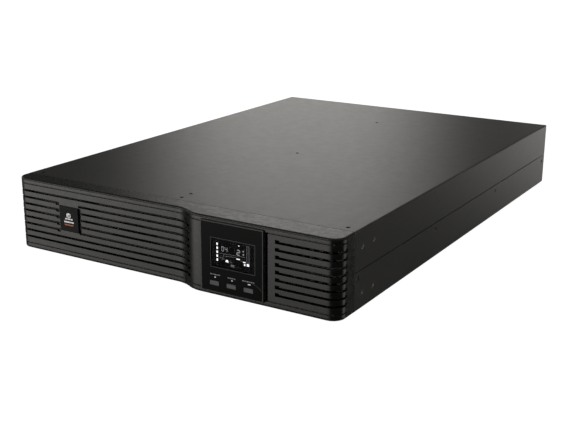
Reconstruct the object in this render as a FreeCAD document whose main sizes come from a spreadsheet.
import FreeCAD, Part

import os
import re
from math import acos, cos, pi

import Sketcher

# A rack-mount uninterruptible power supply, two rack units high. Millimetres.
# X runs to the right as seen from the front, Y to the back, Z up.
# The origin is the middle of the case's underside. Formulas for Y below count from the
# case's front edge, where the bezel starts, and place() shifts them to the origin.

SIZES = {
    # Case
    "case_width": 438,
    "case_height": 85.5,
    "case_depth": 607,
    "metal": 1.2,
    "bend_radius": 1.5,
    "seam_height": 41.3,
    "gap": 0.3,
    "seam_gap": 0.6,
    "cover_gap": 0.8,
    "fit_gap": 0.05,
    # Rack-ear holes and cover screws
    "ear_hole_first": 17,
    "ear_hole_pitch": 25,
    "ear_hole_low": 17.1,
    "ear_hole_rise": 49.5,
    "ear_hole_radius": 2.1,
    "insert_radius": 3.2,
    "screw_radius": 1.5,
    "screw_head_radius": 2.8,
    "screw_depth": 3,
    "side_screw_first": 6.8,
    "side_screw_pitch": 196.2,
    "side_screw_height": 34,
    "top_screw_first": 9.2,
    "top_screw_second": 26.1,
    "top_screw_pitch": 231.1,
    "top_screw_side": 205.8,
    "top_head_radius": 2.2,
    "top_screw_recess": 0.7,
    # Bezel
    "left_depth": 21.5,
    "right_depth": 32,
    "corner_radius": 14,
    "sweep_start": 15,
    "sweep_radius": 37,
    "wall": 2.5,
    "edge_radius": 1.8,
    "slot_pitch": 8,
    "slot_first": 14.75,
    "slot_height": 2.4,
    "slot_wrap": 3,
    "notch_width": 4.7,
    "notch_height": 3.8,
    "groove_height": 1.1,
    "groove_depth": 1.2,
    "groove_low": 5.9,
    "line_height": 0.5,
    "line_depth": 0.5,
    "line_edge": 2.1,
    "left_grille_end": 38,
    "right_grille_start": 146,
    "badge_left": -152.4,
    "badge_width": 27.7,
    "badge_low": 31.1,
    "badge_height": 29.2,
    "pry_width": 4,
    # Display
    "display_x": 94.8,
    "display_z": 42.75,
    "display_size": 77.2,
    "plate_back": 32.2,
    "plate_face": 34.4,
    "overlay_depth": 1,
    "overlay_margin": 1.1,
    "drum_radius": 35.5,
    "drum_wall": 1.3,
    "carrier_radius": 37.3,
    "drum_back": 14,
    "window_x": 0.8,
    "window_z": 5.2,
    "panel_width": 52.5,
    "panel_height": 30,
    "button_pitch": 21.15,
    "button_row": -28.2,
    "button_width": 11.6,
    "button_height": 5,
    "button_proud": 0.8,
    "button_travel": 0.5,
    "flange_lip": 1,
    "flange_depth": 0.8,
    "toe_width": 4.6,
    "toe_height": 2.6,
    "switch_half": 2,
    "switch_height": 2,
    "board_behind": 4.6,
    "board_thickness": 1.6,
    "light_x": 0.6,
    "light_rise": 6.4,
    # Battery bay
    "tray_left": -198,
    "tray_width": 308,
    "tray_depth": 296,
    "tray_low": 2.2,
    "tray_height": 74,
    "block_length": 151,
    "block_width": 94,
    "block_height": 65,
    # Fans
    "fan_size": 80,
    "fan_depth": 25,
    "fan_left": -172,
    "fan_pitch": 84,
    "fan_hole_pitch": 71.5,
    "guard_wire": 0.8,
    # Rear connections
    "outlet_size": 33,
    "outlet_pitch": 37,
    "outlet_left": -46,
    "outlet_low": 6,
}

doc = FreeCAD.newDocument("power_supply")
sheet = doc.addObject("Spreadsheet::Sheet", "Sizes")
for row, (word, value) in enumerate(SIZES.items(), start=1):
    sheet.set(f"A{row}", word)
    sheet.set(f"B{row}", str(value))
    sheet.setAlias(f"B{row}", word)
doc.recompute()

subparts = []


def bound(formula):
    """A formula in the sheet's words as an expression that reads the sheet's cells."""
    return re.sub(
        r"[a-z]\w*", lambda found: "Sizes." + found[0] if found[0] in SIZES else found[0], str(formula)
    )


def amount(formula):
    """What a formula in the sheet's words comes to, in millimetres."""
    return float(sheet.evalExpression(bound(formula)))


def place(thing, x, y, z):
    """Binds a thing's position: x and z from the origin, y from the case's front edge."""
    thing.setExpression("Placement.Base.x", bound(x))
    thing.setExpression("Placement.Base.y", bound(f"{y} - case_depth / 2"))
    thing.setExpression("Placement.Base.z", bound(z))


def keep(thing, label):
    """Names a finished sub-part."""
    thing.Label = label
    subparts.append(thing)
    return thing


# ---------------------------------------------------------------- solids by formula


def box(name, x, y, z):
    """A block between the low and high formula of each axis."""
    block = doc.addObject("Part::Box", name)
    for side, (low, high) in zip(("Length", "Width", "Height"), (x, y, z)):
        block.setExpression(side, bound(f"({high}) - ({low})"))
    place(block, x[0], y[0], z[0])
    return block


TURNS = {
    "x": FreeCAD.Rotation(FreeCAD.Vector(0, 1, 0), 90),
    "y": FreeCAD.Rotation(FreeCAD.Vector(1, 0, 0), -90),
    "z": FreeCAD.Rotation(),
}


def cylinder(name, radius, length, x, y, z, along="z"):
    """A cylinder from a point, running up the named axis."""
    rod = doc.addObject("Part::Cylinder", name)
    rod.Placement.Rotation = TURNS[along]
    rod.setExpression("Radius", bound(radius))
    rod.setExpression("Height", bound(length))
    place(rod, x, y, z)
    return rod


def cone(name, start_radius, end_radius, length, x, y, z, along="z"):
    """A cone from a point, running up the named axis."""
    taper = doc.addObject("Part::Cone", name)
    taper.Placement.Rotation = TURNS[along]
    taper.setExpression("Radius1", bound(start_radius))
    taper.setExpression("Radius2", bound(end_radius))
    taper.setExpression("Height", bound(length))
    place(taper, x, y, z)
    return taper


def ring(name, big_radius, small_radius, x, y, z, along="z"):
    """A torus round a point."""
    loop = doc.addObject("Part::Torus", name)
    loop.Placement.Rotation = TURNS[along]
    loop.setExpression("Radius1", bound(big_radius))
    loop.setExpression("Radius2", bound(small_radius))
    place(loop, x, y, z)
    return loop


def join(name, *pieces):
    """Pieces melted into one solid."""
    joined = doc.addObject("Part::MultiFuse", name)
    joined.Shapes = list(pieces)
    return joined


def group(name, pieces):
    """Separate solids that share a node."""
    together = doc.addObject("Part::Compound", name)
    together.Links = list(pieces)
    return together


def cut(name, base, *tools):
    """Base less the tools."""
    less = doc.addObject("Part::Cut", name)
    less.Base = base
    less.Tool = tools[0] if len(tools) == 1 else group(name + "_tools", tools)
    return less


# ---------------------------------------------------------------- bodies and sketches


def start_body(name, x, y, z):
    body = doc.addObject("PartDesign::Body", name)
    place(body, x, y, z)
    return body


def new_body(label, x=0, y=0, z=0):
    """A body that is a sub-part of its own."""
    return keep(start_body(label, x, y, z), label)


def new_sketch(body, name, role, away=0):
    """A sketch on one of the body's own origin planes, moved along the plane's normal."""
    sketch = body.newObject("Sketcher::SketchObject", name)
    plane = next(feature for feature in body.Origin.OriginFeatures if feature.Role == role)
    sketch.AttachmentSupport = [(plane, "")]
    sketch.MapMode = "FlatFace"
    sketch.setExpression("AttachmentOffset.Base.z", bound(away))
    return sketch


def fix_point(sketch, geometry, end, across, up):
    """Holds a point at formulas measured from the sketch's origin."""
    for kind, formula in (("DistanceX", across), ("DistanceY", up)):
        if formula is not None:
            index = sketch.addConstraint(
                Sketcher.Constraint(kind, -1, 1, geometry, end, amount(formula))
            )
            sketch.setExpression(f"Constraints[{index}]", bound(formula))


def draw_outline(sketch, corners):
    """A closed outline of straight lines through corners given as formulas."""
    points = [FreeCAD.Vector(amount(across), amount(up), 0) for across, up in corners]
    first = sketch.GeometryCount
    count = len(points)
    for index in range(count):
        sketch.addGeometry(Part.LineSegment(points[index], points[(index + 1) % count]), False)
    for index, (across, up) in enumerate(corners):
        after = first + (index + 1) % count
        sketch.addConstraint(Sketcher.Constraint("Coincident", first + index, 2, after, 1))
        fix_point(sketch, first + index, 1, across, up)


def draw_rectangle(sketch, across, up):
    """A rectangle between the low and high formula each way."""
    draw_outline(
        sketch, [(across[0], up[0]), (across[1], up[0]), (across[1], up[1]), (across[0], up[1])]
    )


def draw_circle(sketch, radius, across, up):
    centre = FreeCAD.Vector(amount(across), amount(up), 0)
    circle = sketch.addGeometry(Part.Circle(centre, FreeCAD.Vector(0, 0, 1), amount(radius)), False)
    index = sketch.addConstraint(Sketcher.Constraint("Radius", circle, amount(radius)))
    sketch.setExpression(f"Constraints[{index}]", bound(radius))
    fix_point(sketch, circle, 3, across, up)


def extrude(body, kind, name, sketch, length, backwards=False, both_ways=False):
    """A Pad or a Pocket of a sketch."""
    feature = body.newObject("PartDesign::" + kind, name)
    feature.Profile = sketch
    feature.Reversed = backwards
    feature.Midplane = both_ways
    feature.setExpression("Length", bound(length))
    return feature


def row_of(body, name, features, direction, count, pitch):
    """A linear pattern of features along the body's X, Y or Z axis."""
    pattern = body.newObject("PartDesign::LinearPattern", name)
    pattern.Originals = features
    axis = next(part for part in body.Origin.OriginFeatures if part.Role == direction)
    pattern.Direction = (axis, [""])
    pattern.setExpression("Length", bound(f"({pitch}) * {count - 1}"))
    pattern.Occurrences = count
    body.Tip = pattern
    return pattern


def round_edges(body, name, radius, wanted):
    """A fillet on the tip's edges that a test picks."""
    doc.recompute()
    base = body.Tip
    fillet = body.newObject("PartDesign::Fillet", name)
    edges = [f"Edge{i}" for i, edge in enumerate(base.Shape.Edges, start=1) if wanted(edge)]
    fillet.Base = (base, edges)
    fillet.setExpression("Radius", bound(radius))
    return fillet


def lies_at(edge, axis, formula):
    """True where an edge stays at one place along an axis."""
    low, high = getattr(edge.BoundBox, axis + "Min"), getattr(edge.BoundBox, axis + "Max")
    return abs(low - amount(formula)) < 0.01 and abs(high - amount(formula)) < 0.01


# ---------------------------------------------------------------- case

HALF = "case_width / 2"
SIDE_SCREWS = [f"side_screw_first + {i} * side_screw_pitch" for i in range(4)]
EAR_HOLES = ["ear_hole_first", "ear_hole_first + ear_hole_pitch"]


def pocket_through_sides(body, name, radius, spots):
    """Round holes through both side walls."""
    sketch = new_sketch(body, name + "_sketch", "YZ_Plane")
    for along, up in spots:
        draw_circle(sketch, radius, along, up)
    return extrude(body, "Pocket", name, sketch, "case_width + 2", both_ways=True)


def chassis_base():
    body = new_body("chassis_base")
    profile = new_sketch(body, "base_profile", "XZ_Plane")
    draw_outline(
        profile,
        [
            (f"-{HALF}", 0),
            (HALF, 0),
            (HALF, "seam_height"),
            (f"{HALF} - metal", "seam_height"),
            (f"{HALF} - metal", "metal"),
            (f"-{HALF} + metal", "metal"),
            (f"-{HALF} + metal", "seam_height"),
            (f"-{HALF}", "seam_height"),
        ],
    )
    extrude(body, "Pad", "base_pad", profile, "case_depth", backwards=True)
    round_edges(
        body,
        "base_bends",
        "bend_radius",
        lambda edge: lies_at(edge, "Z", 0) and edge.BoundBox.YLength > amount("case_depth") / 2,
    )
    pocket_through_sides(
        body, "base_ear_holes", "insert_radius", [(along, "ear_hole_low") for along in EAR_HOLES]
    )
    pocket_through_sides(
        body, "base_screw_holes", "screw_head_radius", [(y, "side_screw_height") for y in SIDE_SCREWS]
    )
    return body


TOP_SCREWS = [
    (0, "top_screw_first"),
    (0, "top_screw_second"),
    (0, "top_screw_second + top_screw_pitch"),
    (0, "top_screw_second + 2 * top_screw_pitch"),
    ("top_screw_side", "top_screw_first"),
    ("-top_screw_side", "top_screw_first"),
]


def top_cover():
    body = new_body("top_cover")
    profile = new_sketch(body, "cover_profile", "XZ_Plane")
    draw_outline(
        profile,
        [
            (f"-{HALF}", "case_height"),
            (f"-{HALF}", "seam_height + cover_gap"),
            (f"-{HALF} + metal", "seam_height + cover_gap"),
            (f"-{HALF} + metal", "case_height - metal"),
            (f"{HALF} - metal", "case_height - metal"),
            (f"{HALF} - metal", "seam_height + cover_gap"),
            (HALF, "seam_height + cover_gap"),
            (HALF, "case_height"),
        ],
    )
    extrude(body, "Pad", "cover_pad", profile, "case_depth", backwards=True)
    round_edges(
        body,
        "cover_bends",
        "bend_radius",
        lambda edge: lies_at(edge, "Z", "case_height")
        and edge.BoundBox.YLength > amount("case_depth") / 2,
    )
    for side in (-1, 1):
        tab_plane = f"{side} * ({HALF} - 2 * metal)"
        tabs = new_sketch(body, f"cover_tabs_sketch_{side + 1}", "YZ_Plane", tab_plane)
        for y in SIDE_SCREWS:
            draw_rectangle(tabs, (f"{y} - 5.5", f"{y} + 9"), ("side_screw_height - 6", "seam_height + 6"))
        extrude(body, "Pad", f"cover_tabs_{side + 1}", tabs, "metal", backwards=side < 0)
    pocket_through_sides(
        body,
        "cover_ear_holes",
        "insert_radius",
        [(along, "ear_hole_low + ear_hole_rise") for along in EAR_HOLES],
    )
    pocket_through_sides(
        body, "cover_screw_holes", "screw_radius + fit_gap", [(y, "side_screw_height") for y in SIDE_SCREWS]
    )
    holes = new_sketch(body, "cover_top_sketch", "XY_Plane", "case_height - metal - 1")
    for x, y in TOP_SCREWS:
        draw_circle(holes, "top_head_radius", x, y)
    extrude(body, "Pocket", "cover_top_holes", holes, "metal + 2", backwards=True)
    return body


# ---------------------------------------------------------------- bezel


def front_chain(sketch, inset, left_end, right_end):
    """The bezel's front in plan, from the left side round to the right side, moved inwards by inset.

    Two flat fronts, the right one further forward, are joined by two equal arcs that make an S.
    Both ends are distances in front of the case's edge. Gives the first and the last line.
    """
    side = f"({HALF} - ({inset}))"
    left_front = f"-(left_depth - ({inset}))"
    right_front = f"-(right_depth - ({inset}))"
    corner = f"corner_radius - ({inset})"
    bend_radii = (f"sweep_radius + ({inset})", f"sweep_radius - ({inset})")
    corner_x = amount(f"{HALF} - corner_radius")
    first_centre = FreeCAD.Vector(amount("sweep_start"), -amount("left_depth + sweep_radius"), 0)
    rise = amount("left_depth + 2 * sweep_radius - right_depth")
    slope = pi / 2 - acos(rise / amount("2 * sweep_radius"))
    run = amount("2 * sweep_radius") * cos(slope)
    second_centre = first_centre + FreeCAD.Vector(run, rise, 0)

    def line(start, end):
        return Part.LineSegment(FreeCAD.Vector(*start, 0), FreeCAD.Vector(*end, 0))

    def arc(centre, radius, start, end):
        circle = Part.Circle(FreeCAD.Vector(*centre[:2], 0), FreeCAD.Vector(0, 0, 1), amount(radius))
        return Part.ArcOfCircle(circle, start, end)

    side_x, left_y, right_y = amount(side), amount(left_front), amount(right_front)
    left_corner = (-corner_x, -amount("left_depth - corner_radius"))
    right_corner = (corner_x, -amount("right_depth - corner_radius"))
    first = sketch.GeometryCount
    sketch.addGeometry(
        [
            line((-side_x, -amount(left_end)), (-side_x, left_corner[1])),
            arc(left_corner, corner, pi, 1.5 * pi),
            line((-corner_x, left_y), (first_centre.x, left_y)),
            arc(first_centre, bend_radii[0], slope, 0.5 * pi),
            arc(second_centre, bend_radii[1], slope + pi, 1.5 * pi),
            line((second_centre.x, right_y), (corner_x, right_y)),
            arc(right_corner, corner, 1.5 * pi, 2 * pi),
            line((side_x, right_corner[1]), (side_x, -amount(right_end))),
        ],
        False,
    )
    for geometry, end, after, start in [
        (0, 2, 1, 1),
        (1, 2, 2, 1),
        (2, 2, 3, 2),
        (3, 1, 4, 1),
        (4, 2, 5, 1),
        (5, 2, 6, 1),
        (6, 2, 7, 1),
    ]:
        sketch.addConstraint(Sketcher.Constraint("Tangent", first + geometry, end, first + after, start))
    for geometry, kind in ((0, "Vertical"), (2, "Horizontal"), (5, "Horizontal"), (7, "Vertical")):
        sketch.addConstraint(Sketcher.Constraint(kind, first + geometry))
    for geometry, radius in ((1, corner), (3, bend_radii[0]), (4, bend_radii[1]), (6, corner)):
        index = sketch.addConstraint(Sketcher.Constraint("Radius", first + geometry, amount(radius)))
        sketch.setExpression(f"Constraints[{index}]", bound(radius))
    fix_point(sketch, first, 1, f"-{side}", f"-({left_end})")
    fix_point(sketch, first + 2, 1, None, left_front)
    fix_point(sketch, first + 2, 2, "sweep_start", None)
    fix_point(sketch, first + 5, 1, None, right_front)
    fix_point(sketch, first + 7, 2, side, f"-({right_end})")
    return first, first + 7


def tie(sketch, geometry, end, after, start):
    """A straight line between two loose ends."""
    line = sketch.addGeometry(
        Part.LineSegment(sketch.getPoint(geometry, end), sketch.getPoint(after, start)), False
    )
    sketch.addConstraint(Sketcher.Constraint("Coincident", geometry, end, line, 1))
    sketch.addConstraint(Sketcher.Constraint("Coincident", line, 2, after, start))


def front_band(body, name, depth, low, height):
    """A shallow groove that follows the bezel's front at one height."""
    sketch = new_sketch(body, name + "_sketch", "XY_Plane", low)
    left_end = "left_depth - corner_radius - slot_wrap"
    right_end = "right_depth - corner_radius - slot_wrap"
    outer = front_chain(sketch, -1, left_end, right_end)
    inner = front_chain(sketch, depth, left_end, right_end)
    tie(sketch, outer[0], 1, inner[0], 1)
    tie(sketch, outer[1], 2, inner[1], 2)
    return extrude(body, "Pocket", name, sketch, height, backwards=True)


def draw_slot(sketch, start, end, row, notch_at_start=False):
    """One slot of a grille, with a wider end: standing up at its start, or hanging at its end."""
    low = f"slot_first + {row} * slot_pitch - slot_height / 2"
    high = f"{low} + slot_height"
    if notch_at_start:
        step = f"{start} + notch_width"
        top = f"{low} + notch_height"
        corners = [(start, low), (end, low), (end, high), (step, high), (step, top), (start, top)]
    else:
        step = f"{end} - notch_width"
        bottom = f"{high} - notch_height"
        corners = [(start, low), (step, low), (step, bottom), (end, bottom), (end, high), (start, high)]
    draw_outline(sketch, corners)


SLOTS = 8
BADGE_RIGHT = "badge_left + badge_width"
LEFT_SLOT_DEPTH = "right_depth - left_depth + corner_radius + slot_wrap + 1"
RIGHT_SLOT_DEPTH = "corner_radius + slot_wrap + 1"
STUDS = [(x, z) for x in (-208, 208) for z in (6.5, 79)]


def front_pocket(body, name, draw, depth, away="right_depth + 1"):
    """A pocket into the bezel's front, from a plane before it."""
    sketch = new_sketch(body, name + "_sketch", "XZ_Plane", away)
    draw(sketch)
    return extrude(body, "Pocket", name, sketch, depth)


def left_slots(body, name, start, end, row, count=1):
    """Slots in the left part of the bezel, from one row up."""
    slot = front_pocket(body, name, lambda sketch: draw_slot(sketch, start, end, row), LEFT_SLOT_DEPTH)
    if count > 1:
        row_of(body, name + "_row", [slot], "Z_Axis", count, "slot_pitch")


def cut_grilles(body):
    far_left = f"-{HALF} - 1"
    left_slots(body, "long_slots", far_left, "left_grille_end", 0, count=2)
    left_slots(body, "top_slot", far_left, "left_grille_end", SLOTS - 1)
    left_slots(body, "short_slots", far_left, "badge_left - 1", 2, count=5)
    left_slots(body, "middle_slots", f"{BADGE_RIGHT} + 1", "left_grille_end", 2, count=5)
    right = front_pocket(
        body,
        "right_slots",
        lambda sketch: draw_slot(sketch, "right_grille_start", f"{HALF} + 1", 0, notch_at_start=True),
        RIGHT_SLOT_DEPTH,
    )
    row_of(body, "right_slot_row", [right], "Z_Axis", SLOTS, "slot_pitch")
    side = new_sketch(body, "side_notch_sketch", "YZ_Plane", f"{HALF} + 1")
    side_end = "-(right_depth - corner_radius - slot_wrap)"
    slot_low = "slot_first - slot_height / 2"
    draw_rectangle(
        side, (f"{side_end} - notch_width", side_end), (slot_low, f"{slot_low} + notch_height")
    )
    side_notch = extrude(body, "Pocket", "side_notches", side, "wall + 2")
    row_of(body, "side_notch_row", [side_notch], "Z_Axis", SLOTS, "slot_pitch")


def front_bezel():
    body = new_body("front_bezel")
    plan = new_sketch(body, "bezel_plan", "XY_Plane")
    first, last = front_chain(plan, 0, "seam_gap", "seam_gap")
    tie(plan, last, 2, first, 1)
    extrude(body, "Pad", "bezel_pad", plan, "case_height")
    round_edges(
        body,
        "bezel_edges",
        "edge_radius",
        lambda edge: (lies_at(edge, "Z", 0) or lies_at(edge, "Z", "case_height"))
        and not lies_at(edge, "Y", "-seam_gap"),
    )
    hollow = new_sketch(body, "bezel_hollow_sketch", "XY_Plane", "wall")
    first, last = front_chain(hollow, "wall", -1, -1)
    tie(hollow, last, 2, first, 1)
    extrude(body, "Pocket", "bezel_hollow", hollow, "case_height - 2 * wall", backwards=True)
    cut_grilles(body)
    front_band(body, "low_groove", "groove_depth", "groove_low", "groove_height")
    front_band(
        body, "high_groove", "groove_depth", "case_height - groove_low - groove_height", "groove_height"
    )
    front_band(body, "low_line", "line_depth", "line_edge - line_height / 2", "line_height")
    front_band(body, "high_line", "line_depth", "case_height - line_edge - line_height / 2", "line_height")
    front_pocket(
        body,
        "badge_recess",
        lambda sketch: draw_rectangle(
            sketch,
            ("badge_left - gap", f"{BADGE_RIGHT} + gap"),
            ("badge_low - gap", "badge_low + badge_height + gap"),
        ),
        "right_depth + 1 - left_depth + groove_depth",
    )
    front_pocket(
        body,
        "pry_slot",
        lambda sketch: draw_rectangle(
            sketch,
            (f"{BADGE_RIGHT} + gap", f"{BADGE_RIGHT} + pry_width"),
            ("badge_low - gap", "badge_low + badge_height + gap"),
        ),
        LEFT_SLOT_DEPTH,
    )
    gap_left = "display_x + display_size / 2 + 1"
    front_pocket(
        body,
        "display_gap",
        lambda sketch: draw_rectangle(
            sketch, (gap_left, f"{gap_left} + 3"), ("groove_low", "case_height - groove_low")
        ),
        "wall + 2",
    )
    collar = new_sketch(body, "collar_sketch", "XZ_Plane", "right_depth - wall / 2")
    draw_circle(collar, "carrier_radius + 2", "display_x", "display_z")
    extrude(body, "Pad", "collar", collar, "right_depth - wall / 2 - drum_back", backwards=True)
    front_pocket(
        body,
        "display_hole",
        lambda sketch: draw_circle(sketch, "carrier_radius + fit_gap", "display_x", "display_z"),
        "right_depth",
    )
    for number, (x, z) in enumerate(STUDS):
        depth = "left_depth" if number < 2 else "right_depth"
        boss = new_sketch(body, f"boss_sketch_{number}", "XZ_Plane", f"{depth} - wall + 0.2")
        draw_circle(boss, 4.2, x, z)
        extrude(body, "Pad", f"boss_{number}", boss, f"{depth} - wall - 1", backwards=True)
    holes = new_sketch(body, "stud_hole_sketch", "XZ_Plane", 10)
    for x, z in STUDS:
        draw_circle(holes, 2, x, z)
    extrude(body, "Pocket", "stud_holes", holes, 12)
    return body


def badge():
    body = new_body("badge")
    plate = new_sketch(body, "badge_sketch", "XZ_Plane", "left_depth - groove_depth")
    draw_rectangle(plate, ("badge_left", BADGE_RIGHT), ("badge_low", "badge_low + badge_height"))
    extrude(body, "Pad", "badge_pad", plate, "groove_depth + 0.4")
    round_edges(body, "badge_edges", 0.35, lambda edge: lies_at(edge, "Y", "-left_depth - 0.4"))
    return body


def bezel_studs():
    """Four metal pins pressed into the bezel's bosses, with ball ends for the case's holes."""
    studs = []
    for number, (x, z) in enumerate(STUDS):
        pin = cylinder(f"stud_pin_{number}", "2 - fit_gap", 14, x, -9, z, along="y")
        ball = doc.addObject("Part::Sphere", f"stud_ball_{number}")
        ball.setExpression("Radius", bound(2.3))
        place(ball, x, 5, z)
        studs.append(join(f"stud_{number}", pin, ball))
    return keep(group("bezel_studs", studs), "bezel_studs")


# ---------------------------------------------------------------- display module

BUTTONS = {"left": -1, "middle": 0, "right": 1}
LIGHT_RADIUS = 0.8
LIGHT_ROW = "button_row + light_rise"


def display_carrier():
    """The ring that slides in the bezel's collar and in which the display turns."""
    body = new_body("display_carrier", "display_x", "-drum_back", "display_z")
    sketch = new_sketch(body, "carrier_sketch", "XZ_Plane")
    draw_circle(sketch, "carrier_radius", 0, 0)
    draw_circle(sketch, "drum_radius + fit_gap", 0, 0)
    extrude(body, "Pad", "carrier_pad", sketch, "plate_back - drum_back - gap")
    return body


def display_housing():
    """A square plate with a recess for its overlay, and a round drum behind it."""
    body = new_body("display_housing", "display_x", "-plate_back", "display_z")
    edge = "display_size / 2"
    plate = new_sketch(body, "plate_sketch", "XZ_Plane")
    draw_rectangle(plate, (f"-{edge}", edge), (f"-{edge}", edge))
    extrude(body, "Pad", "plate_pad", plate, "plate_face - plate_back")
    round_edges(body, "plate_edges", 0.4, lambda side: lies_at(side, "Y", "plate_back - plate_face"))
    drum = new_sketch(body, "drum_sketch", "XZ_Plane")
    draw_circle(drum, "drum_radius", 0, 0)
    draw_circle(drum, "drum_radius - drum_wall", 0, 0)
    extrude(body, "Pad", "drum_pad", drum, "plate_back - drum_back", backwards=True)
    recess = new_sketch(body, "recess_sketch", "XZ_Plane", "plate_face - plate_back + 1")
    inner = f"{edge} - overlay_margin"
    draw_rectangle(recess, (f"-({inner})", inner), (f"-({inner})", inner))
    extrude(body, "Pocket", "recess", recess, "overlay_depth + 1")
    openings = new_sketch(body, "opening_sketch", "XZ_Plane", "plate_face - plate_back + 1")
    draw_rectangle(
        openings,
        ("window_x - panel_width / 2 - gap", "window_x + panel_width / 2 + gap"),
        ("window_z - panel_height / 2 - gap", "window_z + panel_height / 2 + gap"),
    )
    draw_button_openings(openings)
    for number in BUTTONS.values():
        draw_circle(openings, LIGHT_RADIUS + 0.2, f"{number} * button_pitch + light_x", LIGHT_ROW)
    extrude(body, "Pocket", "openings", openings, "plate_face - plate_back + 1")
    return body


def draw_button_openings(sketch):
    """The places of the three buttons, measured from the display's middle."""
    for number in BUTTONS.values():
        middle = f"{number} * button_pitch"
        draw_rectangle(
            sketch,
            (f"{middle} - button_width / 2 - gap", f"{middle} + button_width / 2 + gap"),
            ("button_row - button_height / 2 - gap", "button_row + button_height / 2 + gap"),
        )


def display_overlay():
    """The glossy smoked plate over the panel, with openings for the buttons."""
    body = new_body("display_overlay", "display_x", "-plate_face + overlay_depth", "display_z")
    edge = "(display_size / 2 - overlay_margin - fit_gap)"
    plate = new_sketch(body, "overlay_sketch", "XZ_Plane")
    draw_rectangle(plate, (f"-{edge}", edge), (f"-{edge}", edge))
    draw_button_openings(plate)
    extrude(body, "Pad", "overlay_pad", plate, "overlay_depth - fit_gap")
    return body


def lcd_panel():
    """The panel and its backlight, one sealed block."""
    across = "display_x + window_x"
    up = "display_z + window_z"
    return keep(
        box(
            "lcd_panel",
            (f"{across} - panel_width / 2", f"{across} + panel_width / 2"),
            ("-plate_face + overlay_depth + fit_gap", "-plate_back + board_behind"),
            (f"{up} - panel_height / 2", f"{up} + panel_height / 2"),
        ),
        "lcd_panel",
    )


def display_board():
    """The round board behind the panel, with a notch for its cable."""
    near = "-plate_back + board_behind"
    disc = cylinder(
        "board_disc",
        "drum_radius - drum_wall - gap",
        "board_thickness",
        "display_x",
        near,
        "display_z",
        along="y",
    )
    notch = box(
        "board_notch",
        ("display_x - 9", "display_x + 9"),
        (f"{near} - 1", f"{near} + board_thickness + 1"),
        ("display_z + drum_radius - 7", "display_z + drum_radius + 1"),
    )
    return keep(cut("display_board", disc, notch), "display_board")


def display_back():
    """The cap that closes the drum, with a round hole for the cable."""
    disc = cylinder(
        "back_disc",
        "drum_radius - drum_wall - fit_gap",
        1.5,
        "display_x",
        "-drum_back - 1.5",
        "display_z",
        along="y",
    )
    hole = cylinder("back_hole", 7, 3, "display_x", "-drum_back - 2", "display_z", along="y")
    return keep(cut("display_back", disc, hole), "display_back")


def flange_spans(number):
    """The reach of a button's flange, and of its neck in the plate, from the button's middle.

    The drum's wall runs behind the outer buttons, so their flanges are toes at the corner
    nearest the display's middle.
    """
    if number == 0:
        wide, tall = "button_width / 2", "button_height / 2"
        wider, taller = f"({wide} + flange_lip)", f"({tall} + flange_lip)"
        return ((f"-{wider}", wider), (f"-{taller}", taller)), ((f"-{wide}", wide), (f"-{tall}", tall))
    near = f"-({number}) * (button_width / 2 + flange_lip)"
    neck = f"-({number}) * button_width / 2"
    far = f"({near}) + {number} * toe_width"
    top = "button_height / 2 + flange_lip"
    bottom = f"{top} - toe_height"
    return ((near, far), (bottom, top)), ((neck, far), (bottom, "button_height / 2"))


def display_button(word, number):
    """A cap in front of the plate, on a neck with a flange that keeps it behind the plate."""
    body = new_body(
        f"button_{word}",
        f"display_x + {number} * button_pitch",
        "-plate_back + fit_gap",
        "display_z + button_row",
    )
    flange_span, neck_span = flange_spans(number)
    flange = new_sketch(body, f"flange_sketch_{word}", "XZ_Plane", "-flange_depth")
    draw_rectangle(flange, *flange_span)
    extrude(body, "Pad", f"flange_{word}", flange, "flange_depth")
    neck_length = "button_travel + 3 * fit_gap"
    neck = new_sketch(body, f"neck_sketch_{word}", "XZ_Plane")
    draw_rectangle(neck, *neck_span)
    extrude(body, "Pad", f"neck_{word}", neck, neck_length)
    cap = new_sketch(body, f"cap_sketch_{word}", "XZ_Plane", neck_length)
    draw_rectangle(
        cap, ("-button_width / 2", "button_width / 2"), ("-button_height / 2", "button_height / 2")
    )
    reach = "plate_face - plate_back + button_proud + fit_gap"
    extrude(body, "Pad", f"cap_{word}", cap, f"{reach} - ({neck_length})")
    round_edges(body, f"cap_edges_{word}", 0.5, lambda side: lies_at(side, "Y", f"-({reach})"))


def display_buttons():
    for word, number in BUTTONS.items():
        display_button(word, number)


def tact_switches():
    """Three switches on the display board, one behind the middle of each button's flange."""
    switches = []
    seat = "plate_back - board_behind"
    stem_length = "board_behind - switch_height - flange_depth - button_travel - 2 * fit_gap"
    for word, number in BUTTONS.items():
        (left, right), (low, high) = flange_spans(number)[0]
        across = f"display_x + {number} * button_pitch + (({left}) + ({right})) / 2"
        up = f"display_z + button_row + (({low}) + ({high})) / 2"
        case = box(
            f"switch_case_{word}",
            (f"{across} - switch_half", f"{across} + switch_half"),
            (f"-({seat}) - switch_height", f"-({seat})"),
            (f"{up} - switch_half", f"{up} + switch_half"),
        )
        stem_start = f"-({seat}) - switch_height - ({stem_length})"
        stem = cylinder(f"switch_stem_{word}", 1, stem_length, across, stem_start, up, along="y")
        switches.append(join(f"switch_{word}", case, stem))
    return keep(group("tact_switches", switches), "tact_switches")


def indicator_lights():
    """Three light pipes from the display board to the overlay, above the buttons."""
    lights = [
        cylinder(
            f"light_{word}",
            LIGHT_RADIUS,
            "plate_face - plate_back - overlay_depth + board_behind - fit_gap",
            f"display_x + {number} * button_pitch + light_x",
            "-plate_face + overlay_depth + fit_gap",
            f"display_z + {LIGHT_ROW}",
            along="y",
        )
        for word, number in BUTTONS.items()
    ]
    return keep(group("indicator_lights", lights), "indicator_lights")


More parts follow.
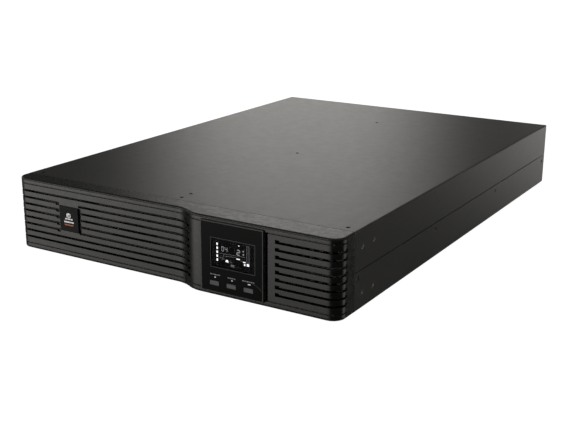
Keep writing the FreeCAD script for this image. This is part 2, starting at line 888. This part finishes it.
def swept_tube(name, points, radius, first_way, last_way):
    """A round cable on a smooth curve through points, with the directions it leaves and arrives in."""
    path = doc.addObject("Part::Feature", name)
    spots = [
        FreeCAD.Vector(amount(x), amount(f"{y} - case_depth / 2"), amount(z)) for x, y, z in points
    ]
    curve = Part.BSplineCurve()
    curve.interpolate(
        Points=spots,
        InitialTangent=FreeCAD.Vector(*first_way),
        FinalTangent=FreeCAD.Vector(*last_way),
    )
    spine = Part.Wire([curve.toShape()])
    start = curve.tangent(curve.FirstParameter)[0]
    section = Part.Wire([Part.Circle(spots[0], start, amount(radius)).toShape()])
    path.Shape = spine.makePipeShell([section], True, True)
    return path


def display_cable():
    """The cable from the display's back to the plug at the case's front."""
    cable = swept_tube(
        "display_cable_run",
        [
            ("display_x", "-drum_back + 1.5", "display_z"),
            ("display_x + 9", "-drum_back + 5", "display_z - 6"),
            ("display_x + 26", "-drum_back + 6", "display_z - 20"),
            (138, -6, 18),
        ],
        1.6,
        (1, 0.6, -0.5),
        (1, 0.4, -0.3),
    )
    plug = box("cable_plug", (132, 144), (-6, -0.4), (14.5, 21.5))
    return keep(join("display_cable", cable, plug), "display_cable")


# ---------------------------------------------------------------- case front and battery bay

TRAY_RIGHT = "(tray_left + tray_width)"
THUMB_SCREWS = (-150, -44, 60)
THUMB_SCREW_Z = "case_height - metal - 4.8"
INSIDE = f"({HALF} - metal)"


def front_frame():
    """The steel plate behind the bezel, open for the battery tray and vented beside it."""
    body = new_body("front_frame")
    plate = new_sketch(body, "frame_sketch", "XZ_Plane")
    draw_rectangle(plate, (f"-{INSIDE}", INSIDE), ("metal", "case_height - metal"))
    draw_rectangle(
        plate,
        ("tray_left - 0.6", f"{TRAY_RIGHT} + 0.6"),
        ("tray_low - gap", "tray_low + tray_height + 0.6"),
    )
    for x, z in STUDS:
        draw_circle(plate, 2.6, x, z)
    for column in range(8):
        for line in range(6):
            beside_header = column < 3 and line == 0
            if not beside_header:
                draw_circle(plate, 3.2, f"{TRAY_RIGHT} + 13 + {column} * 10.5", f"16 + {line} * 11")
    for x in THUMB_SCREWS:
        draw_circle(plate, 1.6, x, THUMB_SCREW_Z)
    draw_rectangle(plate, (131, 145), (14, 22))
    extrude(body, "Pad", "frame_pad", plate, "metal", backwards=True)
    return body


def display_header():
    """The socket on the control board that takes the display cable's plug."""
    return keep(
        box("display_header", (131.6, 144.4), (0, 9), (14.3, 21.7)), "display_header"
    )


def bay_divider():
    """The wall beside the battery bay and the one behind it, bent from one sheet."""
    body = new_body("bay_divider")
    wall_x = f"{TRAY_RIGHT} + 3"
    back = "tray_depth + 8"
    plan = new_sketch(body, "divider_sketch", "XY_Plane", "metal")
    draw_outline(
        plan,
        [
            (f"{wall_x} + metal", "metal"),
            (f"{wall_x} + metal", f"{back} + metal"),
            (f"-{INSIDE}", f"{back} + metal"),
            (f"-{INSIDE}", back),
            (wall_x, back),
            (wall_x, "metal"),
        ],
    )
    extrude(body, "Pad", "divider_pad", plan, "case_height - 2 * metal")
    opening = new_sketch(body, "divider_opening_sketch", "XZ_Plane", f"-({back}) - metal - 1")
    draw_rectangle(opening, (38, 82), (24, 52))
    extrude(body, "Pocket", "divider_opening", opening, "metal + 2", backwards=True)
    return body


def battery_tray():
    """The sliding tray: floor, low sides and a front plate with the thumb screws' holes."""
    floor = box(
        "tray_floor",
        ("tray_left", TRAY_RIGHT),
        ("-gap", "tray_depth"),
        ("tray_low", "tray_low + metal"),
    )
    fold = box("tray_fold", ("tray_left", TRAY_RIGHT), ("-gap", "metal"), ("tray_low", "tray_low + 3"))
    sides = [
        box(f"tray_side_{number}", span, ("-gap", "tray_depth"), ("tray_low", "tray_low + 28"))
        for number, span in enumerate(
            (("tray_left", "tray_left + metal"), (f"{TRAY_RIGHT} - metal", TRAY_RIGHT))
        )
    ]
    front = box(
        "tray_front",
        ("tray_left - 2", f"{TRAY_RIGHT} + 3"),
        ("-0.2 - metal", -0.2),
        ("wall + gap", "case_height - metal - 1.5"),
    )
    holes = [
        cylinder(f"thumb_hole_{number}", 1.6, 4, x, -3, THUMB_SCREW_Z, along="y")
        for number, x in enumerate(THUMB_SCREWS)
    ]
    return keep(cut("battery_tray", join("tray_sheet", floor, fold, front, *sides), *holes), "battery_tray")


def thumb_screws():
    """Knurled captive screws that hold the tray's front plate."""
    screws = []
    for number, x in enumerate(THUMB_SCREWS):
        head = cylinder(f"thumb_head_{number}", 2.9, 7, x, -8.4, THUMB_SCREW_Z, along="y")
        shank = cylinder(f"thumb_shank_{number}", 1.5, 3, x, -2, THUMB_SCREW_Z, along="y")
        screws.append(join(f"thumb_screw_{number}", head, shank))
    return keep(group("thumb_screws", screws), "thumb_screws")


def battery_blocks():
    """Sealed lead-acid blocks lying on their sides, two across and three deep."""
    blocks = []
    for column in range(2):
        for row in range(3):
            left = f"tray_left + metal + 1.5 + {column} * (block_length + 1)"
            near = f"4 + {row} * (block_width + 1)"
            name = f"block_{column}_{row}"
            case = box(
                name + "_case",
                (left, f"{left} + block_length"),
                (near, f"{near} + block_width - 6"),
                ("tray_low + metal", "tray_low + metal + block_height"),
            )
            lid = box(
                name + "_lid",
                (f"{left} + 1", f"{left} + block_length - 1"),
                (f"{near} + block_width - 6", f"{near} + block_width"),
                ("tray_low + metal + 1", "tray_low + metal + block_height - 1"),
            )
            blocks.append(join(name, case, lid))
    return keep(group("battery_blocks", blocks), "battery_blocks")


def battery_strap():
    """The steel strap across the blocks that keeps them down."""
    top = "tray_low + metal + block_height"
    span = box("strap_span", ("tray_left", TRAY_RIGHT), (140, 152), (f"{top} + fit_gap", f"{top} + 1.2"))
    legs = [
        box(f"strap_leg_{number}", sides, (140, 152), ("tray_low + 28", f"{top} + 1.2"))
        for number, sides in enumerate(
            (("tray_left", "tray_left + metal"), (f"{TRAY_RIGHT} - metal", TRAY_RIGHT))
        )
    ]
    return keep(join("battery_strap", span, *legs), "battery_strap")


def battery_plug():
    """The two-pole plug on the tray's back, with its leads."""
    block = box("plug_block", (46, 74), ("tray_depth", "tray_depth + 16"), (31, 45))
    foot = box("plug_foot", (52, 68), ("tray_depth - 4", "tray_depth + 8"), ("tray_low + metal", 31))
    return keep(join("battery_plug", block, foot), "battery_plug")


def battery_socket():
    """The fixed half of the battery connector, behind the divider."""
    block = box("socket_block", (44, 76), ("tray_depth + 16.2", "tray_depth + 34"), (29, 47))
    foot = box("socket_foot", (50, 70), ("tray_depth + 17", "tray_depth + 25"), ("metal", 29))
    return keep(join("battery_socket", block, foot), "battery_socket")


def pull_strap():
    """The flat webbing loop on the tray's front plate."""
    lift = box("strap_band", (-92, -28), (-8, -6.4), (30, 46))
    ends = [
        box(f"strap_end_{number}", span, (-7, -1.4), (30, 46))
        for number, span in enumerate(((-92, -88), (-32, -28)))
    ]
    return keep(join("pull_strap", lift, *ends), "pull_strap")


# ---------------------------------------------------------------- fasteners of the case


def side_screws():
    """Countersunk screws through the base's sides into the cover's tabs."""
    wide, narrow, sunk = "screw_head_radius - fit_gap", "screw_radius", 0.2
    sides = {
        "right": (f"{HALF} - metal", narrow, wide, f"{HALF} - metal - screw_depth"),
        "left": (f"-{HALF} + {sunk}", wide, narrow, f"-{HALF} + metal"),
    }
    screws = []
    for number, y in enumerate(SIDE_SCREWS):
        for side, (start, first, last, shank_start) in sides.items():
            name = f"side_screw_{side}_{number}"
            up = "side_screw_height"
            head = cone(name + "_head", first, last, f"metal - {sunk}", start, y, up, along="x")
            shank = cylinder(name + "_shank", "screw_radius", "screw_depth", shank_start, y, up, along="x")
            screws.append(join(name, head, shank))
    return keep(group("side_screws", screws), "side_screws")


def top_screws():
    """Flat screws in the top cover."""
    screws = []
    for number, (x, y) in enumerate(TOP_SCREWS):
        seat = "case_height - metal"
        head = cylinder(
            f"top_head_{number}", "top_head_radius - fit_gap", "metal - top_screw_recess", x, y, seat
        )
        shank = cylinder(f"top_shank_{number}", "screw_radius", 5, x, y, f"{seat} - 4.5")
        screws.append(join(f"top_screw_{number}", head, shank))
    return keep(group("top_screws", screws), "top_screws")


def ear_inserts():
    """Threaded inserts pressed into both side walls for the rack ears."""
    inserts = []
    for side, start in (("right", f"{HALF} - 5"), ("left", f"-{HALF}")):
        for row, up in enumerate(("ear_hole_low", "ear_hole_low + ear_hole_rise")):
            for place_in_row, along in enumerate(EAR_HOLES):
                name = f"insert_{side}_{row}_{place_in_row}"
                sleeve = cylinder(name + "_sleeve", "insert_radius", 5, start, along, up, along="x")
                thread = cylinder(
                    name + "_thread", "ear_hole_radius", 7, f"{start} - 1", along, up, along="x"
                )
                inserts.append(cut(name, sleeve, thread))
    return keep(group("ear_inserts", inserts), "ear_inserts")


# ---------------------------------------------------------------- fans

FAN_MIDDLES = {"fan_a": "fan_left", "fan_b": "fan_left + fan_pitch"}
FAN_Z = "case_height / 2"
REAR = "case_depth - metal"
BLADES = 7
CORNERS = ((-1, -1), (-1, 1), (1, -1), (1, 1))
GUARD_FACE = "case_depth + 0.2 + 2 * guard_wire"


def fan_frame(label, x):
    """A square frame with a round duct, a motor mount on arms and the shaft on it."""
    body = new_body(label + "_frame", x, f"{REAR} - fan_depth", FAN_Z)
    edge = "fan_size / 2"
    square = new_sketch(body, label + "_square", "XZ_Plane")
    draw_rectangle(square, (f"-{edge}", edge), (f"-{edge}", edge))
    draw_circle(square, f"{edge} - 2", 0, 0)
    for across in ("-fan_hole_pitch / 2", "fan_hole_pitch / 2"):
        for up in ("-fan_hole_pitch / 2", "fan_hole_pitch / 2"):
            draw_circle(square, 2.2, across, up)
    extrude(body, "Pad", label + "_square_pad", square, "fan_depth", backwards=True)
    arms = new_sketch(body, label + "_arms", "XZ_Plane")
    draw_rectangle(arms, (f"-{edge} + 1.5", f"{edge} - 1.5"), (-1.5, 1.5))
    extrude(body, "Pad", label + "_arm", arms, 3, backwards=True)
    upright = new_sketch(body, label + "_upright_sketch", "XZ_Plane")
    draw_rectangle(upright, (-1.5, 1.5), (f"-{edge} + 1.5", f"{edge} - 1.5"))
    extrude(body, "Pad", label + "_upright", upright, 3, backwards=True)
    mount = new_sketch(body, label + "_mount_sketch", "XZ_Plane")
    draw_circle(mount, 16, 0, 0)
    extrude(body, "Pad", label + "_mount", mount, 3, backwards=True)
    shaft = new_sketch(body, label + "_shaft_sketch", "XZ_Plane")
    draw_circle(shaft, 1.5, 0, 0)
    extrude(body, "Pad", label + "_shaft", shaft, 20, backwards=True)
    return body


def fan_rotor(label, x):
    """The hub that covers the motor, with slanted blades."""
    body = new_body(label + "_rotor", x, f"{REAR} - fan_depth + 4", FAN_Z)
    hub = new_sketch(body, label + "_hub_sketch", "XZ_Plane")
    draw_circle(hub, 16, 0, 0)
    extrude(body, "Pad", label + "_hub", hub, 17, backwards=True)
    round_edges(body, label + "_hub_edge", 2, lambda side: lies_at(side, "Y", 17))
    blade = new_sketch(body, label + "_blade_sketch", "YZ_Plane", 15)
    draw_outline(blade, [(1, -9), (2.4, -9), (15.4, 6), (14, 6)])
    pad = extrude(body, "Pad", label + "_blade", blade, 21)
    blades = body.newObject("PartDesign::PolarPattern", label + "_blades")
    blades.Originals = [pad]
    blades.Axis = (next(part for part in body.Origin.OriginFeatures if part.Role == "Y_Axis"), [""])
    blades.Angle = 360
    blades.Occurrences = BLADES
    body.Tip = blades
    bore = new_sketch(body, label + "_bore_sketch", "XZ_Plane")
    draw_circle(bore, "1.5 + fit_gap", 0, 0)
    extrude(body, "Pocket", label + "_bore", bore, 16.2, backwards=False)
    return body


def fan_guard(label, x):
    """Two crossed bars with an eye at each end for a screw, and rings between them."""
    body = start_body(label + "_guard", x, "case_depth + 0.2", FAN_Z)
    near = "(fan_hole_pitch / 2 - guard_wire * sqrt(2) / 2)"
    far = "(fan_hole_pitch / 2 + guard_wire * sqrt(2) / 2)"
    for side in (-1, 1):
        bar = new_sketch(body, f"{label}_bar_sketch_{side + 1}", "XZ_Plane")
        draw_outline(
            bar,
            [
                (f"{side} * {near}", far),
                (f"{side} * {far}", near),
                (f"-({side}) * {near}", f"-{far}"),
                (f"-({side}) * {far}", f"-{near}"),
            ],
        )
        extrude(body, "Pad", f"{label}_bar_{side + 1}", bar, "2 * guard_wire", backwards=True)
    rings = new_sketch(body, label + "_rings_sketch", "XZ_Plane")
    for radius in (10, 18, 26, 34):
        draw_circle(rings, f"{radius} + guard_wire", 0, 0)
        draw_circle(rings, f"{radius} - guard_wire", 0, 0)
    extrude(body, "Pad", label + "_rings", rings, "2 * guard_wire", backwards=True)
    eyes = new_sketch(body, label + "_eyes_sketch", "XZ_Plane")
    holes = new_sketch(body, label + "_eye_holes_sketch", "XZ_Plane")
    for side, rise in CORNERS:
        draw_circle(eyes, 3.2, f"{side} * fan_hole_pitch / 2", f"{rise} * fan_hole_pitch / 2")
        draw_circle(holes, 1.7, f"{side} * fan_hole_pitch / 2", f"{rise} * fan_hole_pitch / 2")
    extrude(body, "Pad", label + "_eyes", eyes, "2 * guard_wire", backwards=True)
    extrude(body, "Pocket", label + "_eye_holes", holes, "2 * guard_wire")
    return body


def fan_guards():
    """The guards outside the rear panel, one over each fan."""
    return keep(group("fan_guards", [fan_guard(*fan) for fan in FAN_MIDDLES.items()]), "fan_guards")


# ---------------------------------------------------------------- rear panel and connections

OUTLET_COLUMNS = 4
OUTLET_ROWS = 2


def outlet_places():
    for column in range(OUTLET_COLUMNS):
        for row in range(OUTLET_ROWS):
            yield (
                f"{column}{row}",
                f"outlet_left + {column} * outlet_pitch",
                f"outlet_low + {row} * (outlet_pitch + 1)",
            )


# Left, right, low and high edges of the rear panel's other openings, and two middles
INLET = (178, 212, 10, 38)
CARD_SLOT = (150, 214, 46, 80)
USB = (114, 126.4, 67, 78.4)
SERIAL = (112, 143, 49, 61)
NETWORK = (112, 143, 8, 22)
REMOTE = (112, 128, 30, 40)
BREAKER = (160, 22)
GROUND = (146, 38)
BREAKER_RADIUS = 8
CARD_SLOT_SCREWS = [(x, 63) for x in (152.5, 211.5)]


def rear_panel():
    body = new_body("rear_panel", 0, REAR, 0)
    plate = new_sketch(body, "rear_sketch", "XZ_Plane")
    draw_rectangle(
        plate,
        (f"-{INSIDE} + fit_gap", f"{INSIDE} - fit_gap"),
        ("metal + fit_gap", "case_height - metal - fit_gap"),
    )
    for x in FAN_MIDDLES.values():
        draw_circle(plate, "fan_size / 2 - 3.5", x, FAN_Z)
        for across in (f"{x} - fan_hole_pitch / 2", f"{x} + fan_hole_pitch / 2"):
            for up in (f"{FAN_Z} - fan_hole_pitch / 2", f"{FAN_Z} + fan_hole_pitch / 2"):
                draw_circle(plate, 2, across, up)
    for _, left, low in outlet_places():
        draw_rectangle(
            plate, (left, f"{left} + outlet_size"), (low, f"{low} + outlet_size")
        )
    for left, right, low, high in (INLET, USB, SERIAL, NETWORK, REMOTE):
        draw_rectangle(plate, (left, right), (low, high))
    left, right, low, high = CARD_SLOT
    draw_rectangle(plate, (f"{left} + 5", f"{right} - 5"), (f"{low} + 2", f"{high} - 2"))
    for x, z in CARD_SLOT_SCREWS:
        draw_circle(plate, 1.3, x, z)
    draw_circle(plate, BREAKER_RADIUS, *BREAKER)
    draw_circle(plate, 2.1, *GROUND)
    extrude(body, "Pad", "rear_pad", plate, "metal", backwards=True)
    return body


def outlets():
    """Snap-in outlets, each with two blade slots and a round earth hole."""
    modules = []
    for name, left, low in outlet_places():
        name = "outlet_" + name
        body = box(
            name + "_body",
            (f"{left} + fit_gap", f"{left} + outlet_size - fit_gap"),
            (f"{REAR} - 20", "case_depth"),
            (f"{low} + fit_gap", f"{low} + outlet_size - fit_gap"),
        )
        flange = box(
            name + "_flange",
            (f"{left} - 1.2", f"{left} + outlet_size + 1.2"),
            ("case_depth", "case_depth + 1.5"),
            (f"{low} - 1.2", f"{low} + outlet_size + 1.2"),
        )
        slots = [
            box(
                f"{name}_slot_{number}",
                (f"{left} + {offset} - 1.1", f"{left} + {offset} + 1.1"),
                ("case_depth - 12", "case_depth + 2"),
                (f"{low} + 16", f"{low} + 25"),
            )
            for number, offset in enumerate((10.15, 22.85))
        ]
        across, up = f"{left} + outlet_size / 2", f"{low} + 9"
        earth = cylinder(name + "_earth", 2.6, 14, across, "case_depth - 12", up, along="y")
        modules.append(cut(name, join(name + "_module", body, flange), *slots, earth))
    return keep(group("outlets", modules), "outlets")


INLET_PINS = ((187, 21), (203, 21), (195, 28.5))


def power_inlet():
    """The mains inlet: a shrouded recess with three flat pins."""
    left, right, low, high = INLET
    block = box(
        "inlet_block",
        (f"{left} + fit_gap", f"{right} - fit_gap"),
        (f"{REAR} - 24", "case_depth"),
        (f"{low} + fit_gap", f"{high} - fit_gap"),
    )
    flange = box(
        "inlet_flange",
        (f"{left} - 2", f"{right} + 2"),
        ("case_depth", "case_depth + 2"),
        (f"{low} - 2", f"{high} + 2"),
    )
    recess = box(
        "inlet_recess",
        (f"{left} + 3.5", f"{right} - 3.5"),
        ("case_depth - 18", "case_depth + 3"),
        (f"{low} + 3.5", f"{high} - 3.5"),
    )
    pins = [
        box(
            f"inlet_pin_{number}",
            (f"{x} - 4", f"{x} + 4"),
            ("case_depth - 19", "case_depth - 2"),
            (f"{z} - 1", f"{z} + 1"),
        )
        for number, (x, z) in enumerate(INLET_PINS)
    ]
    shell = cut("inlet_shell", join("inlet_solid", block, flange), recess)
    return keep(join("power_inlet", shell, *pins), "power_inlet")


def breaker_body():
    """The resettable breaker's case and its threaded collar."""
    x, z = BREAKER
    case = box("breaker_case", (f"{x} - 10", f"{x} + 10"), (f"{REAR} - 26", REAR), (f"{z} - 9", f"{z} + 9"))
    collar = cylinder(
        "breaker_collar", f"{BREAKER_RADIUS} - fit_gap", "metal + 5", x, REAR, z, along="y"
    )
    nut = cylinder("breaker_nut", 9.5, 2.4, x, "case_depth + fit_gap", z, along="y")
    bore = cylinder("breaker_bore", 5, 16, x, f"{REAR} - 8", z, along="y")
    return keep(cut("breaker_body", join("breaker_solid", case, collar, nut), bore), "breaker_body")


def breaker_button():
    """The round cap that resets the breaker, its edge rounded."""
    x, z = BREAKER
    stem = cylinder("breaker_stem", "5 - fit_gap", 12, x, f"{REAR} - 3", z, along="y")
    crown = doc.addObject("Part::Fillet", "breaker_crown")
    doc.recompute()
    crown.Base = stem
    end = "case_depth / 2 + 9 - metal"
    far = [i for i, edge in enumerate(stem.Shape.Edges, start=1) if lies_at(edge, "Y", end)]
    crown.Edges = [(i, 1.0, 1.0) for i in far]
    return keep(crown, "breaker_button")


def port(label, opening, depth, recess_margin, recess_depth, holes=1):
    """A socket in the rear panel with one or more rectangular mouths."""
    left, right, low, high = opening
    body = box(
        label + "_body",
        (f"{left} + fit_gap", f"{right} - fit_gap"),
        (f"{REAR} - {depth}", "case_depth + 0.4"),
        (f"{low} + fit_gap", f"{high} - fit_gap"),
    )
    pitch = (right - left) / holes
    mouths = [
        box(
            f"{label}_mouth_{number}",
            (left + number * pitch + recess_margin, left + (number + 1) * pitch - recess_margin),
            (f"case_depth - {recess_depth}", "case_depth + 2"),
            (f"{low} + {recess_margin}", f"{high} - {recess_margin}"),
        )
        for number in range(holes)
    ]
    return keep(cut(label, body, *mouths), label)


def card_slot_cover():
    """The plate over the slot for an accessory card."""
    left, right, low, high = CARD_SLOT
    plate = box("slot_plate", (left, right), ("case_depth + fit_gap", "case_depth + 1.2"), (low, high))
    holes = [
        cylinder(f"slot_hole_{number}", 1.3, 4, x, "case_depth - 1", z, along="y")
        for number, (x, z) in enumerate(CARD_SLOT_SCREWS)
    ]
    return keep(cut("card_slot_cover", plate, *holes), "card_slot_cover")


def pan_screw(name, x, z, seat, radius):
    """A pan-head screw from the back, its head on a seat."""
    head = cylinder(name + "_head", "screw_head_radius", 1.6, x, seat, z, along="y")
    length = f"{seat} - ({REAR}) + screw_depth"
    shank = cylinder(name + "_shank", radius, length, x, f"{REAR} - screw_depth", z, along="y")
    return join(name, head, shank)


def rear_screws():
    """Four screws for each fan guard, and two on the card slot's cover."""
    screws = []
    for fan, middle in FAN_MIDDLES.items():
        for number, (side, rise) in enumerate(CORNERS):
            across = f"{middle} + {side} * fan_hole_pitch / 2"
            up = f"{FAN_Z} + {rise} * fan_hole_pitch / 2"
            screws.append(pan_screw(f"{fan}_screw_{number}", across, up, GUARD_FACE, 1.6))
    for number, (x, z) in enumerate(CARD_SLOT_SCREWS):
        screws.append(pan_screw(f"slot_screw_{number}", x, z, "case_depth + 1.2", 1.2))
    return keep(group("rear_screws", screws), "rear_screws")


def ground_stud():
    x, z = GROUND
    shank = cylinder("ground_shank", 2, 14, x, f"{REAR} - 3", z, along="y")
    nut = cylinder("ground_nut", 4, 3, x, "case_depth + fit_gap", z, along="y")
    inner = cylinder("ground_head", 4, 2, x, f"{REAR} - 2", z, along="y")
    return keep(join("ground_stud", shank, nut, inner), "ground_stud")


# ---------------------------------------------------------------- power electronics

# The main board's edges, and how high it lies
BOARD_LEFT, BOARD_RIGHT, BOARD_NEAR, BOARD_FAR = -200, 200, 322, 572
BOARD_LOW, BOARD_TOP = 9, 10.6


def main_board():
    plate = box(
        "main_board_plate",
        (BOARD_LEFT, BOARD_RIGHT),
        (BOARD_NEAR, BOARD_FAR),
        (BOARD_LOW, BOARD_TOP),
    )
    return keep(plate, "main_board")


def board_standoffs():
    posts = [
        cylinder(f"standoff_{column}_{row}", 3, f"{BOARD_LOW} - metal", x, y, "metal")
        for column, x in enumerate((-190, 0, 190))
        for row, y in enumerate((330, 450, 564))
    ]
    return keep(group("board_standoffs", posts), "board_standoffs")


def bus_capacitors():
    cans = [
        cylinder(f"can_{column}_{row}", 15, 52, column * 33 - 184, row * 33 + 345, BOARD_TOP)
        for column in range(4)
        for row in range(3)
    ]
    return keep(group("bus_capacitors", cans), "bus_capacitors")


def relays():
    cases = [
        box(f"relay_{n}", (n * 32 - 44, n * 32 - 16), (548, 564), (BOARD_TOP, BOARD_TOP + 22))
        for n in range(5)
    ]
    return keep(group("relays", cases), "relays")


HEAT_SINKS = (-40, 50)


def heat_sinks():
    """Finned extrusions standing on the board, fins along the air flow."""
    sinks = []
    along = (345, 525)
    for number, x in enumerate(HEAT_SINKS):
        spine = box(f"sink_{number}_spine", (x, x + 5), along, (BOARD_TOP, 74))
        fins = [
            box(f"sink_{number}_fin_{n}", (x + 4, x + 32), along, (14 + n * 7.4, 15.6 + n * 7.4))
            for n in range(9)
        ]
        sinks.append(join(f"sink_{number}", spine, *fins))
    return keep(group("heat_sinks", sinks), "heat_sinks")


def power_transistors():
    cases = [
        box(
            f"transistor_{number}_{n}",
            (x - 5, f"{x} - fit_gap"),
            (352 + n * 34, 368 + n * 34),
            (20, 41),
        )
        for number, x in enumerate(HEAT_SINKS)
        for n in range(5)
    ]
    return keep(group("power_transistors", cases), "power_transistors")


def chokes():
    """Ring chokes lying on the board."""
    rings = [
        ring(f"choke_{n}", 15, 8, 112, 356 + n * 50, BOARD_TOP + 8) for n in range(3)
    ]
    return keep(group("chokes", rings), "chokes")


def transformer():
    """A frame-shaped core with a middle leg, and the wound coil round the leg."""
    left, near, long, deep = 148, 350, 44, 60
    span = (left, left + long)
    core = box("core_block", span, (near, near + deep), (BOARD_TOP, 62))
    window = box("core_window", (left - 1, left + long + 1), (near + 10, near + deep - 10), (20, 52))
    leg = box("core_leg", span, (near + 22, near + deep - 22), (19, 53))
    keep(join("transformer_core", cut("core_frame", core, window), leg), "transformer_core")
    coil = box("coil_block", (left - 7, left + long + 7), (near + 11, near + deep - 11), (20.5, 51.5))
    hole = box("coil_hole", (left - 0.4, left + long + 0.4), (near + 21.8, near + deep - 21.8), (19, 53))
    keep(cut("transformer_coil", coil, hole), "transformer_coil")


def charger_board():
    right_bay = f"{TRAY_RIGHT} + 10"
    return keep(
        box("charger_board", (right_bay, 212), (130, 290), (9, 10.6)), "charger_board"
    )


def control_board():
    right_bay = f"{TRAY_RIGHT} + 10"
    return keep(box("control_board", (right_bay, 212), (9, 100), (12, 13.6)), "control_board")


def charger_transformer():
    core = box("charger_core", (140, 180), (170, 205), (10.6, 46))
    coil = box("charger_coil", (134, 186), (178, 197), (16, 41))
    return keep(join("charger_transformer", core, coil), "charger_transformer")


def dc_cables():
    """The pair of thick cables from the battery socket down to the main board."""
    cables = []
    for number, x in enumerate((54, 66)):
        points = [
            (x, "tray_depth + 34.1", 38),
            (x - 12, "tray_depth + 46", 35),
            (x - 46, "tray_depth + 44", 24),
            (x - 58, "tray_depth + 44", f"{BOARD_TOP} + fit_gap"),
        ]
        cables.append(swept_tube(f"dc_cable_{number}", points, 2.6, (0, 1, 0), (0, 0, -1)))
    return keep(group("dc_cables", cables), "dc_cables")


BUILD = [
    chassis_base,
    top_cover,
    rear_panel,
    front_frame,
    bay_divider,
    front_bezel,
    badge,
    bezel_studs,
    display_carrier,
    display_housing,
    display_overlay,
    lcd_panel,
    display_board,
    display_back,
    display_buttons,
    tact_switches,
    indicator_lights,
    display_cable,
    display_header,
    battery_tray,
    battery_blocks,
    battery_strap,
    battery_plug,
    pull_strap,
    thumb_screws,
    battery_socket,
    side_screws,
    top_screws,
    ear_inserts,
    fan_guards,
    outlets,
    power_inlet,
    breaker_body,
    breaker_button,
    card_slot_cover,
    rear_screws,
    ground_stud,
    main_board,
    board_standoffs,
    bus_capacitors,
    relays,
    heat_sinks,
    power_transistors,
    chokes,
    transformer,
    charger_board,
    charger_transformer,
    control_board,
    dc_cables,
]
for build in BUILD:
    build()
for fan, middle in FAN_MIDDLES.items():
    fan_frame(fan, middle)
    fan_rotor(fan, middle)
port("usb_port", USB, 16, 1.6, 9)
port("serial_port", SERIAL, 14, 2.4, 5)
port("network_ports", NETWORK, 20, 1.5, 12, holes=2)
port("remote_off_terminal", REMOTE, 12, 1.4, 6, holes=2)
doc.recompute()

for thing in doc.Objects:
    if "Invalid" in thing.State or "Error" in thing.State:
        raise RuntimeError(f"{thing.Name} did not build: {thing.State}")
for part in subparts:
    if part.Shape.isNull() or not part.Shape.isValid():
        raise RuntimeError(f"{part.Label} has no valid shape")

os.makedirs("parts", exist_ok=True)
for part in subparts:
    part.Shape.exportStep(f"parts/{part.Label}.step")
print(len(subparts), "sub-parts written")
